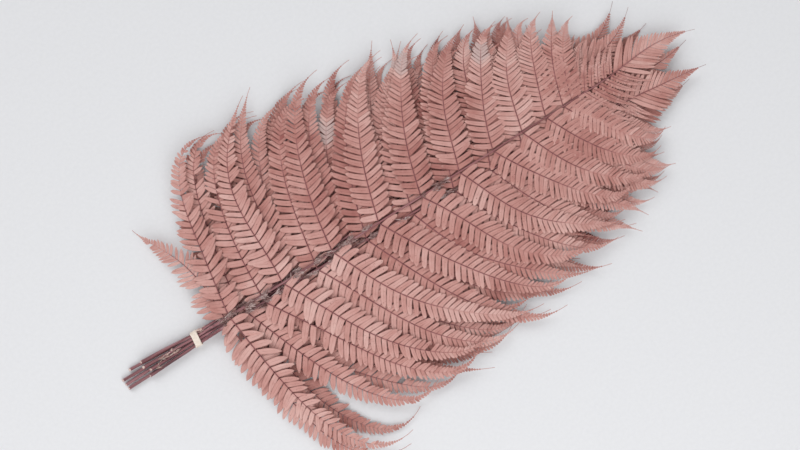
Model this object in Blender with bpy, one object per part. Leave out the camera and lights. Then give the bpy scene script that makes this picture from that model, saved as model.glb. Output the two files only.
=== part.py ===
"""A bunch of eight dried fern fronds, lying flat, with an elastic band round their cut stipes.

Metres, +Z up. The origin is on the surface, under the middle of the band. The fronds run
along +X. Frond 1 is the top one. Each frond is one closed solid: a stipe and rachis, pinnae
cut into leaflets on both sides, and a toothed tip. The fronds lie on one another in layers,
so no two of them meet.
"""

import functools
import math
import random

import bmesh
import bpy

# The bunch
FROND_COUNT = 8
FROND_TIP_X = 0.533
BLADE_START_X = 0.038
LAST_PINNA_X = 0.404
STRAY_ROOT_X = 0.033

# Thicknesses
BLADE_HALF_THICKNESS = 0.0003
RIB_RISE = 0.0004
STIPE_DIAMETER = 0.0028
RACHIS_TIP_DIAMETER = 0.0010

# The layers
LAYER_CLEARANCE = 0.00045
RIM_PITCH = 0.0019
RIM_WAVE = 0.00032
CORE_HALF_WIDTH = 0.009
SLOPE_WIDTH = 0.082
FAN_LENGTH = 0.0305
FAN_RINGS = 5
FAN_SIDE_START = 0.007
FAN_SIDE_WIDTH = 0.022

# The band and the stipes inside it: two rows of four
BAND_HALF_WIDTH = 0.0035
BAND_THICKNESS = 0.0012
BAND_CLEARANCE = 0.0003
BAND_EDGE = 0.0003
STIPE_GAP = 0.0004
STIPE_SPACING = STIPE_DIAMETER + STIPE_GAP
LOWER_ROW_Z = BAND_THICKNESS + BAND_CLEARANCE + STIPE_DIAMETER / 2
UPPER_ROW_Z = LOWER_ROW_Z + STIPE_SPACING

# For each frond: row, place across the band, cut end (x, y), tip's sideways bend, reach,
# width of the blade, pairs of pinnae, step of the leaflets and the first pinnae's place
FRONDS = [
    {"row": "top", "place": 0.5, "cut": (-0.0545, 0.0034), "bend": 0.003, "reach": 1.00,
     "width": 1.00, "pairs": 11, "leaflet": 0.0165, "shift": 0.000, "seed": 11},
    {"row": "top", "place": -1.5, "cut": (-0.0533, -0.0066), "bend": -0.032, "reach": 0.985,
     "width": 1.00, "pairs": 10, "leaflet": 0.025, "shift": 0.034, "stray": True, "seed": 12},
    {"row": "top", "place": 1.5, "cut": (-0.0540, 0.0088), "bend": 0.040, "reach": 0.925,
     "width": 0.97, "pairs": 10, "leaflet": 0.025, "shift": 0.012, "seed": 13},
    {"row": "top", "place": -0.5, "cut": (-0.0500, -0.0020), "bend": -0.010, "reach": 0.98,
     "width": 0.99, "pairs": 10, "leaflet": 0.050, "shift": 0.042, "seed": 14},
    {"row": "bottom", "place": -1.5, "cut": (-0.0765, -0.0061), "bend": -0.046, "reach": 0.95,
     "width": 1.00, "pairs": 10, "leaflet": 0.050, "shift": 0.020, "seed": 15},
    {"row": "bottom", "place": 1.5, "cut": (-0.0670, 0.0080), "bend": 0.055, "reach": 0.91,
     "width": 0.98, "pairs": 10, "leaflet": 0.050, "shift": 0.046, "seed": 16},
    {"row": "bottom", "place": -0.5, "cut": (-0.0770, -0.0014), "bend": -0.020, "reach": 0.90,
     "width": 0.98, "pairs": 10, "leaflet": 0.050, "shift": 0.006, "seed": 17},
    {"row": "bottom", "place": 0.5, "cut": (-0.0775, 0.0033), "bend": 0.022, "reach": 0.94,
     "width": 0.95, "pairs": 10, "leaflet": 0.050, "shift": 0.030, "seed": 18},
]

# Pinnae
UPPER_LENGTH = 0.182
LOWER_LENGTH = 0.216
STRAY_LENGTH = 0.118
PINNA_HALF_WIDTH = 0.0195
NEIGHBOUR_SHARE = 0.40
SHORTEST_STEP = 0.012
CLOSE_PINNA_SCALE = 0.40
ROOT_WIDTH = 0.0030
STALK = 0.0035
RIB_HALF_WIDTH = 0.0009
LEAFY_SHARE = 0.93
SHORTEST_LEAFLET = 0.0014
RIB_TAPER = 0.45

# The toothed tip beyond the last pinnae
TERMINAL_STEP = 0.0130
TERMINAL_REACH = 0.042
TERMINAL_LAST_TOOTH = 0.0018
TERMINAL_LEAN = 0.75
TERMINAL_TOOTHED_SHARE = 0.94
TERMINAL_RIB = (0.0007, 0.0004)

LEAF_COLOUR = (0.54, 0.30, 0.27, 1.0)
UNDER_LAYER_COLOUR = (0.42, 0.20, 0.18, 1.0)
BAND_COLOUR = (0.79, 0.70, 0.60, 1.0)


def mix(a, b, t):
    """The value a share t of the way from a to b."""
    return a + (b - a) * t


def smooth(t):
    """An eased step from 0 to 1."""
    t = min(max(t, 0.0), 1.0)
    return t * t * (3.0 - 2.0 * t)


def stem_diameter(x):
    """Thickness of a stipe and its rachis, which thins towards the tip."""
    share = min(max(x / FROND_TIP_X, 0.0), 1.0)
    return mix(STIPE_DIAMETER, RACHIS_TIP_DIAMETER, share ** 0.8)


def side_share(y):
    """0 over the rachises in the middle of the stack, 1 at its rim."""
    return smooth((abs(y) - CORE_HALF_WIDTH) / SLOPE_WIDTH)


def layer_pitch(x, y):
    """Height from one frond to the next."""
    middle = stem_diameter(x) / 2 + BLADE_HALF_THICKNESS + RIB_RISE + LAYER_CLEARANCE
    wave = math.sin(x / 0.041 + 1.3) * math.cos(y / 0.037 + 0.4) + 0.4 * math.sin((x + y) / 0.029)
    return mix(middle, RIM_PITCH + RIM_WAVE * wave, side_share(y))


def layer_height(frond, x, y):
    """Height of the middle of a frond's blade above the surface."""
    lowest = mix(stem_diameter(x) / 2, BLADE_HALF_THICKNESS, side_share(y))
    spread = lowest + (FROND_COUNT - frond) * layer_pitch(x, y)
    row_z = UPPER_ROW_Z if FRONDS[frond - 1]["row"] == "top" else LOWER_ROW_Z
    fanned = (x - BAND_HALF_WIDTH) / FAN_LENGTH
    if x > BAND_HALF_WIDTH:
        fanned += max(0.0, abs(y) - FAN_SIDE_START) / FAN_SIDE_WIDTH
    return mix(row_z, spread, smooth(fanned))


def rachis_y(plan, x):
    """Sideways place of a frond's stem: spread at the cut ends, straight in the band, then bent."""
    beside = plan["place"] * (stem_diameter(x) + STIPE_GAP)
    cut_x, cut_y = plan["cut"]
    if x < -BAND_HALF_WIDTH:
        return mix(beside, cut_y, (-BAND_HALF_WIDTH - x) / (-BAND_HALF_WIDTH - cut_x))
    bend = plan["bend"] * (max(0.0, x - 0.06) / (FROND_TIP_X - 0.06)) ** 2
    return beside + bend


def rachis_heading(plan, x):
    """Direction of a frond's stem in plan, as an angle from +X."""
    step = 0.001
    return math.atan2(rachis_y(plan, x + step) - rachis_y(plan, x - step), 2 * step)


def pinna_roots(plan):
    """Where the pairs of pinnae leave the rachis: 55 mm apart low down, closer near the tip."""
    first = BLADE_START_X + plan["shift"]
    last = LAST_PINNA_X * plan["reach"]
    roots = [STRAY_ROOT_X] if "stray" in plan else []
    for pair in range(plan["pairs"]):
        share = pair / (plan["pairs"] - 1)
        eased = 1.0 - (1.0 - share) ** 1.6
        roots.append(mix(first, last, eased))
    return roots


def pinna_shape(plan, root_x, side, draw):
    """Length, start angle, end angle and curl of one pinna; side is 1 for +Y and -1 for -Y."""
    share = min((root_x - BLADE_START_X) / (FROND_TIP_X * plan["reach"] - BLADE_START_X), 1.0)
    share = max(share, 0.0)
    low_down = 1.0 - smooth((share - 0.12) / 0.26)
    sway = draw.uniform(-2.0, 2.0)
    trim = draw.uniform(0.95, 1.0)
    if side > 0:
        length = UPPER_LENGTH * (1.0 - share ** 1.8) ** 0.95
        start = mix(74.0, 85.0, low_down)
        end = mix(42.0, 8.0, low_down)
    else:
        length = LOWER_LENGTH * (1.0 - share ** 1.7) ** 0.9
        start = mix(64.0, 62.0, low_down) + 22.0 * (1.0 - smooth(share / 0.04))
        end = mix(26.0, 4.0, low_down)
    return {"length": length * plan["width"] * trim, "start": math.radians(start + sway),
            "end": math.radians(end + sway), "curl": mix(1.6, 3.0, low_down)}


def stray_shape():
    """The lowest pinna on the left, which hangs back towards the band."""
    return {"length": STRAY_LENGTH, "start": math.radians(84.0), "end": math.radians(128.0), "curl": 1.0}


def pinna_point(shape, heading, side, root, distance):
    """A point on a pinna's rib and the rib's direction there, both in plan."""
    steps = 24
    x, y = root
    angle = shape["start"]
    for step in range(steps):
        share = (step + 0.5) / steps * distance / shape["length"]
        angle = mix(shape["start"], shape["end"], share ** shape["curl"])
        x += math.cos(heading + side * angle) * distance / steps
        y += math.sin(heading + side * angle) * distance / steps
    share = distance / shape["length"]
    angle = mix(shape["start"], shape["end"], share ** shape["curl"])
    return (x, y), heading + side * angle


def leaflet_reach(share, half_width):
    """Length of the leaflets along a pinna: short at its foot, then long, then fading to a tail."""
    foot = mix(0.62, 1.0, smooth(share / 0.16))
    return half_width * foot * (1.0 - share ** 2.0) ** 1.15


class FrondMesh:
    """The points and faces of one frond, with an upper and a lower skin on the same triangles."""

    def __init__(self, frond):
        self.frond = frond
        self.points = []
        self.open_edges = {}
        self.faces = []

    def skin_pair(self, x, y, rise=0.0):
        """Two points, one on each skin of the blade, at the same place in plan."""
        middle = layer_height(self.frond, x, y)
        self.points.append((x, y, middle + BLADE_HALF_THICKNESS + rise))
        self.points.append((x, y, middle - BLADE_HALF_THICKNESS))
        return len(self.points) - 2

    def stem_point(self, x, y, rise):
        """One point on the top or the underside of the stem."""
        self.points.append((x, y, layer_height(self.frond, x, y) + rise))
        return len(self.points) - 1

    def blade(self, *corners):
        """A blade face on both skins; corners are the pairs' upper points, seen from above."""
        self.faces.append(list(corners))
        self.faces.append([corner + 1 for corner in reversed(corners)])
        for start, end in zip(corners, corners[1:] + corners[:1]):
            self.edge(start, end)

    def edge(self, start, end):
        """Counts one side of a face; two faces that share a side close it."""
        if (end, start) in self.open_edges:
            del self.open_edges[(end, start)]
        else:
            self.open_edges[(start, end)] = True

    def close(self):
        """Walls along every side that one face alone uses."""
        for start, end in self.open_edges:
            self.faces.append([start, start + 1, end + 1, end])


def root_half_width(root_x):
    """Half of a pinna's width where it leaves the rachis."""
    return ROOT_WIDTH / 2 * mix(1.0, 0.6, root_x / FROND_TIP_X)


def stem_rings(plan, roots):
    """Places of the rings along the stem: the cut stipe, its fan to the blade, and each root."""
    rings = [plan["cut"][0], -BAND_HALF_WIDTH]
    for step in range(FAN_RINGS):
        x = BAND_HALF_WIDTH + 0.002 + FAN_LENGTH * step / FAN_RINGS
        if x < roots[0] - ROOT_WIDTH:
            rings.append(x)
    for root in roots:
        rings += [root - root_half_width(root), root + root_half_width(root)]
    return rings


def add_stem(frond_mesh, plan, roots):
    """The six-sided stem, left open at its sides where a pinna grows; returns each ring's sides."""
    sides = []
    previous = None
    for x in stem_rings(plan, roots):
        y = rachis_y(plan, x)
        heading = rachis_heading(plan, x)
        radius = stem_diameter(x) / 2
        across = (-math.sin(heading), math.cos(heading))
        left = frond_mesh.skin_pair(x + across[0] * radius, y + across[1] * radius)
        right = frond_mesh.skin_pair(x - across[0] * radius, y - across[1] * radius)
        top = frond_mesh.stem_point(x, y, radius)
        low = frond_mesh.stem_point(x, y, -radius)
        ring = [right, top, left, left + 1, low, right + 1]
        if previous is None:
            frond_mesh.faces.append(ring)
        else:
            for index in (0, 1, 3, 4):
                frond_mesh.faces.append([previous[index], ring[index], ring[index + 1], previous[index + 1]])
            frond_mesh.edge(previous[0], ring[0])
            frond_mesh.edge(ring[2], previous[2])
        previous = ring
        sides.append((right, left))
    return sides, previous


def add_blade_strip(frond_mesh, sides, stations):
    """A rib with a pair of teeth between stations, from an open side of the stem to a point."""
    right, left = sides
    for station in stations:
        if station["right"] is None:
            tip = frond_mesh.skin_pair(*station["left"])
            frond_mesh.blade(right, tip, left)
            return
        next_right = frond_mesh.skin_pair(*station["right"], RIB_RISE)
        next_left = frond_mesh.skin_pair(*station["left"], RIB_RISE)
        frond_mesh.blade(right, next_right, next_left)
        frond_mesh.blade(right, next_left, left)
        for tooth, first, last in (("right_tooth", right, next_right), ("left_tooth", next_left, left)):
            if tooth in station:
                frond_mesh.blade(first, frond_mesh.skin_pair(*station[tooth]), last)
        right, left = next_right, next_left


def offset(point, heading, along, across):
    """A point moved along and to the left of a direction in plan."""
    return (point[0] + math.cos(heading) * along - math.sin(heading) * across,
            point[1] + math.sin(heading) * along + math.cos(heading) * across)


def room_at(point, neighbours):
    """Distance in plan from a point to the nearest point of the ribs on either side."""
    return min((math.dist(point, other) for rib in neighbours for other in rib), default=1.0)


def rib_stations(rib, length, step, half_width, neighbours):
    """Stations of a pinna's rib with the leaflets between them, tapering to its point."""
    leafy = (length - STALK) * LEAFY_SHARE
    count = max(1, round(leafy / step))
    pitch = leafy / count
    stations = []
    for index in range(count + 1):
        distance = STALK + index * pitch
        point, heading = rib(distance)
        half_rib = RIB_HALF_WIDTH * mix(1.0, RIB_TAPER, distance / length)
        station = {"right": offset(point, heading, 0.0, -half_rib),
                   "left": offset(point, heading, 0.0, half_rib)}
        if index > 0:
            middle, middle_heading = rib(distance - pitch * 0.5)
            reach = leaflet_reach((distance - pitch * 0.5) / length, half_width)
            reach = max(min(reach, NEIGHBOUR_SHARE * room_at(middle, neighbours)), SHORTEST_LEAFLET)
            # Leaflets point a little towards the pinna's tip, and never past the next valley
            lean = min(pitch * 0.16 + reach * 0.10, pitch * 0.45)
            station["right_tooth"] = offset(middle, middle_heading, lean, -reach)
            station["left_tooth"] = offset(middle, middle_heading, lean, reach)
        stations.append(station)
    point, _ = rib(length)
    stations.append({"right": None, "left": point})
    return stations


def side_ribs(plan, roots, side, draw):
    """The rib of every pinna on one side: its shape and a function that gives its points."""
    ribs = []
    for root_x in roots:
        shape = pinna_shape(plan, root_x, side, draw)
        if root_x == STRAY_ROOT_X and side > 0:
            shape = stray_shape()
        heading = rachis_heading(plan, root_x)
        root = offset((root_x, rachis_y(plan, root_x)), heading, 0.0, side * stem_diameter(root_x) / 2)
        ribs.append((shape, functools.partial(pinna_point, shape, heading, side, root)))
    return ribs


def add_pinnae(frond_mesh, plan, roots, sides):
    """Pinnae on both sides of the rachis, each as wide as the room to its neighbours allows."""
    draw = random.Random(plan["seed"])
    bare_rings = len(sides) - 2 * len(roots)
    for side in (1, -1):
        ribs = side_ribs(plan, roots, side, draw)
        lines = [[rib(shape["length"] * share / 30)[0] for share in range(1, 31)] for shape, rib in ribs]
        lines.append(terminal_line(plan, roots, side))
        for index, (shape, rib) in enumerate(ribs):
            right_1, left_1 = sides[bare_rings + 2 * index]
            right_2, left_2 = sides[bare_rings + 2 * index + 1]
            neighbours = lines[max(index - 1, 0):index] + [lines[index + 1]]
            half_width = min(PINNA_HALF_WIDTH, 0.2 * shape["length"])
            step = min(plan["leaflet"], max(SHORTEST_STEP, shape["length"] ** 2 / CLOSE_PINNA_SCALE))
            stations = rib_stations(rib, shape["length"], step, half_width, neighbours)
            open_side = (left_2, left_1) if side > 0 else (right_1, right_2)
            add_blade_strip(frond_mesh, open_side, stations)


def terminal_line(plan, roots, side):
    """The middle line of the first tooth beyond the last pinna, for the room beside it."""
    x = roots[-1] + TERMINAL_STEP / 2
    foot = (x, rachis_y(plan, x))
    reach = TERMINAL_REACH * TERMINAL_LEAN
    return [offset(foot, 0.0, reach * share / 10, side * TERMINAL_REACH * share / 10) for share in range(1, 11)]


def add_terminal(frond_mesh, plan, last_ring, last_x):
    """The toothed tip: the rachis runs out flat, with ever shorter simple teeth, from its last ring."""
    right, top, left, left_low, low, right_low = last_ring
    frond_mesh.faces.append([right, left, top])
    frond_mesh.faces.append([right_low, low, left_low])
    frond_mesh.edge(right, left)
    reach = FROND_TIP_X * plan["reach"] - last_x

    def rib(distance):
        """A point of the rachis beyond the last pinnae."""
        x = last_x + distance
        return (x, rachis_y(plan, x)), rachis_heading(plan, x)

    count = round(reach / TERMINAL_STEP)
    toothed = reach * TERMINAL_TOOTHED_SHARE
    stations = []
    previous = 0.0
    for index in range(count):
        distance = toothed * (1.0 - (1.0 - (index + 1) / count) ** 1.15)
        point, heading = rib(distance)
        middle, middle_heading = rib(mix(previous, distance, 0.5))
        half_rib = mix(*TERMINAL_RIB, index / count)
        tooth = mix(TERMINAL_REACH, TERMINAL_LAST_TOOTH, (index / (count - 1)) ** 0.75)
        lean = tooth * TERMINAL_LEAN
        stations.append({
            "right": offset(point, heading, 0.0, -half_rib),
            "left": offset(point, heading, 0.0, half_rib),
            "right_tooth": offset(middle, middle_heading, lean, -tooth),
            "left_tooth": offset(middle, middle_heading, lean, tooth)})
        previous = distance
    point, _ = rib(reach)
    stations.append({"right": None, "left": point})
    add_blade_strip(frond_mesh, (right, left), stations)


def make_material(name, colour, roughness):
    """A plain finish of one colour."""
    material = bpy.data.materials.new(name)
    material.use_nodes = True
    shader = material.node_tree.nodes["Principled BSDF"]
    shader.inputs["Base Color"].default_value = colour
    shader.inputs["Roughness"].default_value = roughness
    return material


def link_mesh(name, mesh, material):
    """An object of its own for a mesh, with its faces turned outwards."""
    builder = bmesh.new()
    builder.from_mesh(mesh)
    bmesh.ops.triangulate(builder, faces=[face for face in builder.faces if len(face.verts) > 4])
    bmesh.ops.recalc_face_normals(builder, faces=builder.faces)
    builder.to_mesh(mesh)
    builder.free()
    mesh.materials.append(material)
    made = bpy.data.objects.new(name, mesh)
    bpy.context.scene.collection.objects.link(made)
    return made


def make_frond(frond, plan):
    """One frond as one closed solid."""
    frond_mesh = FrondMesh(frond)
    roots = pinna_roots(plan)
    sides, last_ring = add_stem(frond_mesh, plan, roots)
    add_pinnae(frond_mesh, plan, roots, sides)
    add_terminal(frond_mesh, plan, last_ring, roots[-1] + root_half_width(roots[-1]))
    frond_mesh.close()
    mesh = bpy.data.meshes.new("frond_%d" % frond)
    mesh.from_pydata(frond_mesh.points, [], frond_mesh.faces)
    colour = [mix(a, b, (frond - 1) / (FROND_COUNT - 1)) for a, b in zip(LEAF_COLOUR, UNDER_LAYER_COLOUR)]
    link_mesh("frond_%d" % frond, mesh, make_material("frond_%d" % frond, colour, 0.85))


def band_outline(grow):
    """The band's stadium in the Y-Z plane, grown outwards, as points round it."""
    half_y = 1.5 * STIPE_SPACING
    half_z = (UPPER_ROW_Z - LOWER_ROW_Z) / 2
    middle_z = (UPPER_ROW_Z + LOWER_ROW_Z) / 2
    radius = STIPE_DIAMETER / 2 + grow
    points = []
    corner_steps = 4
    for corner, (sign_y, sign_z) in enumerate(((1, 1), (-1, 1), (-1, -1), (1, -1))):
        for step in range(corner_steps + 1):
            angle = math.radians(90 * (corner + step / corner_steps))
            points.append((sign_y * half_y + radius * math.cos(angle),
                           middle_z + sign_z * half_z + radius * math.sin(angle)))
    return points


def make_band():
    """The elastic band: a closed ring with a flat foot on the surface."""
    inner = band_outline(BAND_CLEARANCE)
    outer = band_outline(BAND_CLEARANCE + BAND_THICKNESS)
    soft = band_outline(BAND_CLEARANCE + BAND_THICKNESS - BAND_EDGE)
    loops = [
        [(-BAND_HALF_WIDTH, y, z) for y, z in inner],
        [(-BAND_HALF_WIDTH, y, z) for y, z in soft],
        [(-BAND_HALF_WIDTH + BAND_EDGE, y, z) for y, z in outer],
        [(BAND_HALF_WIDTH - BAND_EDGE, y, z) for y, z in outer],
        [(BAND_HALF_WIDTH, y, z) for y, z in soft],
        [(BAND_HALF_WIDTH, y, z) for y, z in inner],
    ]
    count = len(inner)
    points = [point for loop in loops for point in loop]
    faces = []
    for row in range(len(loops)):
        following = (row + 1) % len(loops)
        for index in range(count):
            ahead = (index + 1) % count
            faces.append([row * count + index, row * count + ahead,
                          following * count + ahead, following * count + index])
    mesh = bpy.data.meshes.new("tie_band")
    mesh.from_pydata(points, [], faces)
    link_mesh("tie_band", mesh, make_material("tie_band", BAND_COLOUR, 0.7))


def main():
    """The whole bunch."""
    for item in list(bpy.data.objects):
        bpy.data.objects.remove(item)
    for frond, plan in enumerate(FRONDS, start=1):
        make_frond(frond, plan)
    make_band()


main()
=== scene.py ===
"""The looks of a tied bunch of eight dried fern fronds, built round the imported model.

Metres, +Z up, in the model's own frame: the origin is on the surface under the middle of the
band and the fronds run along +X. Each frond's leaflets, ribs and stem replace its solid, and
lie on the same curves and at the same heights. The camera looks straight down.
"""

import math
import random

import bpy
import numpy as np
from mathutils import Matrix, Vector


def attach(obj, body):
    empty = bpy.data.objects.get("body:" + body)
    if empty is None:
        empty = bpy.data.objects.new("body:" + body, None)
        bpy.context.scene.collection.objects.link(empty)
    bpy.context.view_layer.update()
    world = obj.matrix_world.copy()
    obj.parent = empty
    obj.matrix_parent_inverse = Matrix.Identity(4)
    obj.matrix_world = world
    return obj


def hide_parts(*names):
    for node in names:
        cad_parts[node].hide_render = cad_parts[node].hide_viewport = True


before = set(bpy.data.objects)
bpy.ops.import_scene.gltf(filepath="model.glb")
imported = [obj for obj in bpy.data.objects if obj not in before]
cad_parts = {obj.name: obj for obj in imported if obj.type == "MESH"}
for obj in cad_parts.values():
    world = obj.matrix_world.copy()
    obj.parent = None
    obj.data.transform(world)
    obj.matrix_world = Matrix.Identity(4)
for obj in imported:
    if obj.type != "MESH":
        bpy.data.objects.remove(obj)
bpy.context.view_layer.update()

# The bunch, as the solids have it
FROND_COUNT = 8
FROND_TIP_X = 0.533
BLADE_START_X = 0.038
LAST_PINNA_X = 0.404
STRAY_ROOT_X = 0.033
BEND_START_X = 0.060
TIP_PART = 0.20
LOWEST_POINT = 0.00015

# Thicknesses
BLADE_HALF_THICKNESS = 0.0003
RIB_RISE = 0.0004
STIPE_DIAMETER = 0.0028
RACHIS_TIP_DIAMETER = 0.0010

# The layers
LAYER_CLEARANCE = 0.00045
RIM_PITCH = 0.0019
RIM_WAVE = 0.00032
CORE_HALF_WIDTH = 0.009
SLOPE_WIDTH = 0.082
FAN_LENGTH = 0.0305
FAN_SIDE_START = 0.007
FAN_SIDE_WIDTH = 0.022

# The band and the stipes inside it: two rows of four
BAND_HALF_WIDTH = 0.0035
BAND_THICKNESS = 0.0012
BAND_CLEARANCE = 0.0003
BAND_SLANT = 0.11
STIPE_GAP = 0.0004
STIPE_SPACING = STIPE_DIAMETER + STIPE_GAP
LOWER_ROW_Z = BAND_THICKNESS + BAND_CLEARANCE + STIPE_DIAMETER / 2
UPPER_ROW_Z = LOWER_ROW_Z + STIPE_SPACING

# For each frond: row, place across the band, cut end (x, y), tip's sideways bend, reach,
# width of the blade, pairs of pinnae, the first pinnae's place, and how the very tip hooks and arches
FRONDS = [
    {"row": "top", "place": 0.5, "cut": (-0.0545, 0.0034), "bend": 0.003, "reach": 1.00,
     "width": 1.00, "pairs": 11, "shift": 0.000, "hook": -0.005, "arch": 0.007, "seed": 11},
    {"row": "top", "place": -1.5, "cut": (-0.0533, -0.0066), "bend": -0.032, "reach": 0.985,
     "width": 1.00, "pairs": 10, "shift": 0.034, "hook": -0.001, "arch": 0.000, "stray": True, "seed": 12},
    {"row": "top", "place": 1.5, "cut": (-0.0540, 0.0088), "bend": 0.040, "reach": 0.925,
     "width": 0.97, "pairs": 10, "shift": 0.012, "hook": 0.012, "arch": -0.009, "seed": 13},
    {"row": "top", "place": -0.5, "cut": (-0.0500, -0.0020), "bend": -0.010, "reach": 0.98,
     "width": 0.99, "pairs": 10, "shift": 0.042, "hook": 0.005, "arch": -0.004, "seed": 14},
    {"row": "bottom", "place": -1.5, "cut": (-0.0765, -0.0061), "bend": -0.046, "reach": 0.95,
     "width": 1.00, "pairs": 10, "shift": 0.020, "hook": 0.006, "arch": -0.006, "seed": 15},
    {"row": "bottom", "place": 1.5, "cut": (-0.0670, 0.0080), "bend": 0.055, "reach": 0.91,
     "width": 0.98, "pairs": 10, "shift": 0.046, "hook": 0.013, "arch": -0.009, "seed": 16},
    {"row": "bottom", "place": -0.5, "cut": (-0.0770, -0.0014), "bend": -0.020, "reach": 0.90,
     "width": 0.98, "pairs": 10, "shift": 0.006, "hook": 0.000, "arch": -0.003, "seed": 17},
    {"row": "bottom", "place": 0.5, "cut": (-0.0775, 0.0033), "bend": 0.022, "reach": 0.94,
     "width": 0.95, "pairs": 10, "shift": 0.030, "hook": 0.007, "arch": 0.002, "seed": 18},
]

# Pinnae
UPPER_LENGTH = 0.182
LOWER_LENGTH = 0.216
STRAY_LENGTH = 0.118
PINNA_HALF_WIDTH = 0.0195

# Their angles from the rachis in degrees: high up the frond, then low down on it
UPPER_START = (74.0, 85.0)
UPPER_END = (42.0, 8.0)
LOWER_START = (64.0, 62.0)
LOWER_END = (26.0, 4.0)
LOWEST_TURN = 22.0
PINNA_CURL = (1.6, 3.0)
STRAY_ANGLES = (84.0, 128.0)

# Radii of their ribs: of a long pinna, of a short one, and at the tips
RIB_RADIUS = 0.00060
SHORT_RIB_RADIUS = 0.00040
RIB_TIP_RADIUS = 0.00021
TINY_RIB_RADII = (0.00030, 0.00012)

# Leaflets: their step along a full-length pinna, at its foot and at its tip
LEAFLET_STEP = 0.0068
LEAFLET_STEP_AT_TIP = 0.0015
FULL_PINNA = 0.178
LEAFY_SHARE = 0.93
TAIL = 1.07
FINE_GRID = (8, 4)
PLAIN_GRID = (5, 4)
TINY_GRID = (4, 2)
FINE_FRONDS = (1, 2, 3, 8)

# One leaflet: lean from the rib in degrees at the pinna's foot and tip, bow, twist and relief
LEAN_AHEAD = (84.0, 52.0)
LEAN_BEHIND = (76.0, 50.0)
LEAFLET_BOW = 0.135
LOBE_BOW = 0.20
BOW_SPREAD = 0.055
LEAFLET_TWIST = 0.10
TWIST_SPREAD = 0.27
FOOT_SHARE = 0.30
SHARPEST_FOOT = 0.45
DOME_RISE = 0.0007
EDGE_DROOP = 0.075
TIP_DROOP = (-0.0006, 0.0013)
MISSING_SHARE = 0.05

# Tones, which the leaf's material turns into colours
MIDDLE_TONE = 0.50
TONE_SPREAD = 0.055
# Painted shade: each frond lower in the stack is painted darker by this much tone, for the shade of the
# fronds above it
PAINTED_SHADE_PER_LAYER = 0.022
DARKEST_TONE = 0.02
LIGHTEST_TONE = 0.74
PALE_TONE = 0.95

# The tip beyond the last pinnae
TERMINAL_REACH = 0.046
TERMINAL_LOBE = 0.028
TERMINAL_START = 0.0065
TERMINAL_STEP = 0.0080
TERMINAL_STEP_AT_TIP = 0.0014
LOBED_SHARE = 0.93
STEM_TIP_RADIUS = 0.00016
STEM_LIFT = 0.00045

# Places where a pinna shows its greyish underside
PALE_PLACES = [(0.200, 0.094), (0.293, 0.111), (0.352, 0.085)]
PALE_RADIUS = 0.016

# Scales on the rachises
SCALE_SEED = 51
SCALE_TUFTS = 150
SCALE_RANGE = (0.030, 0.300)

# Peeled strips on the stipes: x, y and number of strips
CHAFF_SEED = 52
CHAFF_PATCHES = [
    (-0.037, 0.0020, 10), (-0.0295, 0.0008, 9), (-0.0215, 0.0004, 9), (-0.044, -0.0030, 4),
    (0.0068, 0.0052, 14), (0.0150, 0.0015, 5),
]

# The camera, straight above, and the studio; a lamp has a name, a place, a size and an energy
CAMERA_PLACE = (0.2124, -0.0104, 1.308)
CAMERA_TURN = -32.0
CAMERA_LENS = 64.3
SENSOR_WIDTH = 36.0
FLOOR_HALF = 2.5
FLOOR_PLACE = (0.2, 0.0, -0.0002)
SKY_COLOUR = (0.96, 0.98, 1.0, 1.0)
SKY_STRENGTH = 0.40
LIGHT_TARGET = (0.22, 0.0, 0.0)
LAMPS = [
    ("key", (-0.30, 4.08, 4.2), 4.2, 140.0),
    ("fill", (-0.20, -0.85, 1.2), 2.3, 18.5),
]


def mix(a, b, t):
    """The value a share t of the way from a to b."""
    return a + (b - a) * t


def smooth(t):
    """An eased step from 0 to 1, for numbers and arrays."""
    t = np.clip(t, 0.0, 1.0)
    return t * t * (3.0 - 2.0 * t)


def stem_diameter(x):
    """Thickness of a stipe and its rachis, which thins towards the tip."""
    share = np.clip(x / FROND_TIP_X, 0.0, 1.0)
    return mix(STIPE_DIAMETER, RACHIS_TIP_DIAMETER, share ** 0.8)


def side_share(y):
    """0 over the rachises in the middle of the stack, 1 at its rim."""
    return smooth((np.abs(y) - CORE_HALF_WIDTH) / SLOPE_WIDTH)


def layer_pitch(x, y):
    """Height from one frond to the next."""
    middle = stem_diameter(x) / 2 + BLADE_HALF_THICKNESS + RIB_RISE + LAYER_CLEARANCE
    wave = np.sin(x / 0.041 + 1.3) * np.cos(y / 0.037 + 0.4) + 0.4 * np.sin((x + y) / 0.029)
    return mix(middle, RIM_PITCH + RIM_WAVE * wave, side_share(y))


def layer_height(frond, x, y):
    """Height of the middle of a frond's blade above the surface."""
    lowest = mix(stem_diameter(x) / 2, BLADE_HALF_THICKNESS, side_share(y))
    spread = lowest + (FROND_COUNT - frond) * layer_pitch(x, y)
    row_z = UPPER_ROW_Z if FRONDS[frond - 1]["row"] == "top" else LOWER_ROW_Z
    beside = np.maximum(0.0, np.abs(y) - FAN_SIDE_START) / FAN_SIDE_WIDTH
    fanned = (x - BAND_HALF_WIDTH) / FAN_LENGTH + np.where(x > BAND_HALF_WIDTH, beside, 0.0)
    return mix(row_z, spread, smooth(fanned))


def rachis_y(plan, x):
    """Sideways place of a frond's stem: spread at the cut ends, straight in the band, then bent."""
    beside = plan["place"] * (stem_diameter(x) + STIPE_GAP)
    cut_x, cut_y = plan["cut"]
    behind = mix(beside, cut_y, (-BAND_HALF_WIDTH - x) / (-BAND_HALF_WIDTH - cut_x))
    bend = plan["bend"] * (np.maximum(0.0, x - BEND_START_X) / (FROND_TIP_X - BEND_START_X)) ** 2
    end_x = FROND_TIP_X * plan["reach"]
    late = np.clip((x - (1.0 - TIP_PART) * end_x) / (TIP_PART * end_x), 0.0, 1.0)
    hook = plan["hook"] * late ** 4 + plan["arch"] * np.sin(late * math.pi) * late
    return np.where(x < -BAND_HALF_WIDTH, behind, beside + bend + hook)


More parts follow.
